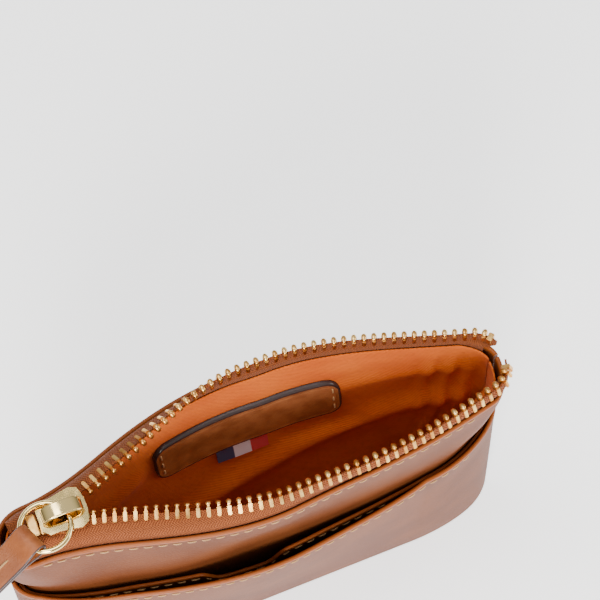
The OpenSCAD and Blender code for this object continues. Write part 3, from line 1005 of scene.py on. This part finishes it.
def below_pocket(x):
    return np.asarray(pocket_h - row_in)


def below_slot(x):
    return slot_edge(np.asarray(x)) - row_in


seam("front_zip_stitching", front, front_in, below_edge, flat, flat, -row_end, row_end)
seam("back_zip_stitching", back, 0, below_edge, flat, flat, -row_end, row_end)
seam("pocket_stitching", front, 0, below_pocket, pocket_stand, flat, -row_end, row_end)
seam("card_slot_stitching", front, slot_in, below_slot, slot_stand, flat, *slot_row)

long_stitch = stitch_shape(long_stitch_l, thread_d * 1.2)
wheres = []
for x in np.arange(fold_l + 2.2, tab_l - 2.9, long_stitch_pitch):
    for up in (1, -1):
        middle = np.array([-x, 0.0, up * (tab_t + thread_d / 2 - sink)])
        reach_x = np.array([long_stitch_l / 2, 0.0, 0.0])
        wheres.append(at_tab @ lie(middle - reach_x, middle + reach_x, (0, 0, up)))
points, faces = many(long_stitch, wheres)
tab_thread = piece("strap_stitching", points, faces)
tab_thread.data.materials.append(cream_thread)
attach(tab_thread, "tab")
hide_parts("pull_tab_stitching")

# ---------------------------------------------------------------- label
# A tongue of smooth brown leather sewn to the back lining at both ends, with rounded corners, a
# plain pressed border and thick dark paint round its edge.
label_x = 3
label_l = 51
label_h = 14
label_t = 1.3
label_top = wall_h - 10
on_lining = back_lining_in + lining_t + 0.15
label_r = 4.2
label_stitch_l = 2.0
label_stitch_in = 2.2
label_stitch_pitch = 3.4


def from_label_edge(x, z):
    """How far inside the rounded outline a point lies, measured from the label's middle."""
    past_x, past_z = np.abs(x) - (label_l / 2 - label_r), np.abs(z) - (label_h / 2 - label_r)
    outside = np.hypot(np.maximum(past_x, 0), np.maximum(past_z, 0))
    return label_r - outside - np.minimum(np.maximum(past_x, past_z), 0)


def spread(half):
    """Places from -half to half, close together near the ends where the edge rolls over."""
    near = [0, 0.04, 0.1, 0.2, 0.32, 0.48, 0.75, 1.0, 1.2, 1.35, 1.5, 1.65, 1.8, 2.1]
    near = np.array(near) / half
    middle = np.linspace(near[-1], 2 - near[-1], int(half / 0.6))[1:-1]
    return np.concatenate([near, middle, 2 - near[::-1]]) - 1


def label_points():
    """Front face from the lower edge up, then the back face down again, column by column."""
    grid, place = [], []
    for x in spread(label_l / 2) * label_l / 2:
        past = max(0.0, abs(x) - (label_l / 2 - label_r))
        half = label_h / 2 - label_r + math.sqrt(max(0.0, label_r**2 - past**2))
        z = spread(label_h / 2) * half
        inside = np.maximum(0, from_label_edge(x, z))
        roll = np.sqrt(1 - (1 - np.minimum(inside / 0.5, 1)) ** 2)
        border = np.exp(-(((inside - 1.45) / 0.2) ** 2))
        lift = 0.15 + (label_t - 0.15) * roll - 0.12 * border
        back_face = (z[::-1], np.full_like(z, 0.08), np.zeros_like(z))
        for zs, lifts, depth in ((z, lift, inside), back_face):
            at_x, at_z = np.full_like(zs, label_x + x), label_top - label_h / 2 + zs
            grid.append(np.stack([at_x, wall_y(at_x, at_z, on_lining + lifts, back), at_z], 1))
            place.append(np.stack([at_x, at_z, depth], 1))
    rim = 2 * len(z)
    return np.concatenate(grid), tube_faces(len(grid) // 2, rim), np.concatenate(place)


def label_finish():
    made = Finish("label_leather")
    spot = made.place()
    from_edge = made.axis(spot, 2)
    paint = 1 - from_edge.band(0.62, 0.9)
    pores = made.noise(spot, 2.4, 4)
    cloud = made.noise(spot, 0.2, 3).band(0.3, 0.7)
    colour = made.blend(cloud, rgb(126, 70, 34), rgb(158, 96, 54))
    colour = made.blend(pores.band(0.5, 0.8) * 0.35, colour, rgb(74, 36, 14))
    colour = made.blend(paint, colour, rgb(50, 38, 36))
    made.set(Base_Color=colour, Roughness=mix(0.52, 0.26, paint), Specular_IOR_Level=0.45)
    made.set(Normal=made.bump(pores * (1 - paint), 0.08, 0.8))
    return made.material


points, faces, place = label_points()
patch = piece("name_patch", points, faces, place)
patch.data.materials.append(label_finish())
start, end = back.sections()[0][3:]
start * MM
end * MM
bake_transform(patch)
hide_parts("label_patch")

wheres = []
for way in (-1, 1):
    for k in (-1, 0, 1):
        x = label_x + way * (label_l / 2 - label_stitch_in)
        z = label_top - label_h / 2 + k * label_stitch_pitch
        ends = []
        for dz in (-1, 1):
            y = float(wall_y(x, z + dz, on_lining + label_t + thread_d / 2 - sink, back))
            ends.append(np.array([x, y, z + dz]))
        wheres.append(lie(ends[0], ends[1], (0, -1, 0)))
points, faces = many(stitch_shape(label_stitch_l, thread_d), wheres)
patch_thread = piece("patch_stitching", points, faces)
patch_thread.data.materials.append(cream_thread)
start * MM
end * MM
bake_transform(patch_thread)
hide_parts("label_stitching")

# ---------------------------------------------------------------- ribbon
# A short end of ribbed ribbon caught under the lower edge of the label, in three plain bands.
ribbon_x = 1
ribbon_w = 14
ribbon_show = 6
ribbon_tuck = 4.3
ribbon_t = 0.6


def ribbon_finish():
    made = Finish("banded_ribbon")
    spot = made.place()
    along, up = made.axis(spot, 0), made.axis(spot, 1)
    first = along.band(ribbon_w / 3 - 0.08, ribbon_w / 3 + 0.08)
    second = along.band(2 * ribbon_w / 3 - 0.08, 2 * ribbon_w / 3 + 0.08)
    rib = (up * (2 * math.pi / 0.45)).wave()
    fuzz = made.noise(spot, 2.5, 3)
    colour = made.blend(first, rgb(22, 30, 92), rgb(236, 234, 240))
    colour = made.blend(second, colour, rgb(206, 24, 28))
    colour = made.blend((1 - rib) * 0.16 + fuzz * 0.05, colour, rgb(60, 40, 40))
    made.set(Base_Color=colour, Roughness=0.75, Normal=made.bump(rib + fuzz * 0.4, 0.06, 0.7))
    made.set(Sheen_Weight=0.2)
    return made.material


def ribbon_points(cols=36, rows=14):
    grid, place = [], []
    for i in range(cols + 1):
        x = ribbon_x + ribbon_w * (i / cols - 0.5)
        loop = [(j / rows, 0.0) for j in range(rows + 1)]
        loop += [(1 - j / rows, 1.0) for j in range(rows + 1)]
        for t, face in loop:
            z = label_top - label_h + ribbon_tuck - (ribbon_show + ribbon_tuck) * t
            lift = 0.05 + 0.25 * t * math.sin(i / cols * math.pi) + face * (ribbon_t - 0.2)
            grid.append((x, float(wall_y(x, z, on_lining + lift, back)), z))
            place.append((x - ribbon_x + ribbon_w / 2, (ribbon_show + ribbon_tuck) * t, face))
    return grid, tube_faces(cols + 1, 2 * rows + 2), place


points, faces, place = ribbon_points()
ribbon = piece("ribbon_end", points, faces, place)
ribbon.data.materials.append(ribbon_finish())
start * MM
end * MM
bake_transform(ribbon)
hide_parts("ribbon_tag")

# ---------------------------------------------------------------- table, light and camera
# The pouch stands on plain pale paper that gives off light of its own, which keeps it bright. A
# soft lamp stands in front on the left, with weaker ones above and at the right. The sky fades to
# dark at the horizon, which gives the polished metal something to reflect.
floor_mesh = bpy.data.meshes.new("table_top")
far, under = 3.0, -0.0004
corners = [(-far, -far, under), (far, -far, under), (far, far, under), (-far, far, under)]
floor_mesh.from_pydata(corners, [], [(0, 1, 2, 3)])
table_top = bpy.data.objects.new("table_top", floor_mesh)
bpy.context.scene.collection.objects.link(table_top)
paper = Finish("pale_paper")
paper.set(Base_Color=rgb(249, 249, 249), Roughness=0.9, Specular_IOR_Level=0.1)
paper.set(Emission_Color=rgb(255, 255, 255), Emission_Strength=1.25)
floor_mesh.materials.append(paper.material)

world = bpy.data.worlds.new("studio")
bpy.context.scene.world = world
world.use_nodes = True
backdrop = world.node_tree.nodes["Background"]
sky = world.node_tree.nodes.new("ShaderNodeTexCoord")
height = world.node_tree.nodes.new("ShaderNodeSeparateXYZ")
fade = world.node_tree.nodes.new("ShaderNodeMapRange")
fade.inputs["From Min"].default_value, fade.inputs["From Max"].default_value = 0.05, 0.8
fade.inputs["To Min"].default_value, fade.inputs["To Max"].default_value = 0.12, 0.75
world.node_tree.links.new(sky.outputs["Generated"], height.inputs[0])
world.node_tree.links.new(height.outputs["Z"], fade.inputs["Value"])
world.node_tree.links.new(fade.outputs[0], backdrop.inputs["Strength"])
backdrop.inputs["Color"].default_value = (1.0, 1.0, 1.0, 1.0)


def soft_light(name, place, aim, size, watts, colour):
    lamp = bpy.data.lights.new(name, "AREA")
    lamp.shape, lamp.size, lamp.energy, lamp.color = "DISK", size, watts, colour
    thing = bpy.data.objects.new(name, lamp)
    thing.location = place
    thing.rotation_euler = (Vector(aim) - Vector(place)).to_track_quat("-Z", "Y").to_euler()
    bpy.context.scene.collection.objects.link(thing)


aim = (0, 0, 0.06)
soft_light("key", (-0.3, -0.6, 0.42), aim, 0.3, 9.0, (1.0, 0.98, 0.95))
soft_light("top", (-0.15, 0.1, 0.8), aim, 0.4, 3.2, (1.0, 0.99, 0.98))
soft_light("side", (0.6, -0.2, 0.35), aim, 0.4, 2.0, (1.0, 1.0, 1.0))

azimuth, elevation, roll = (math.radians(a) for a in (-19.34, 63.446, -3.168))
distance = 0.6
look_at = Vector((0.029815, 0.043517, 0.06))
level_part = math.cos(elevation)
toward = Vector(
    (level_part * math.sin(azimuth), -level_part * math.cos(azimuth), math.sin(elevation))
)
right = (-toward).cross(Vector((0, 0, 1))).normalized()
upright = right.cross(-toward)
turned = math.cos(roll) * right + math.sin(roll) * upright
lifted = -math.sin(roll) * right + math.cos(roll) * upright
camera_data = bpy.data.cameras.new("camera")
camera_data.lens, camera_data.sensor_width = 136.97, 36
camera = bpy.data.objects.new("camera", camera_data)
facing = Matrix((turned, lifted, toward)).transposed().to_4x4()
camera.matrix_world = Matrix.Translation(look_at + toward * distance) @ facing
bpy.context.scene.collection.objects.link(camera)
bpy.context.scene.camera = camera
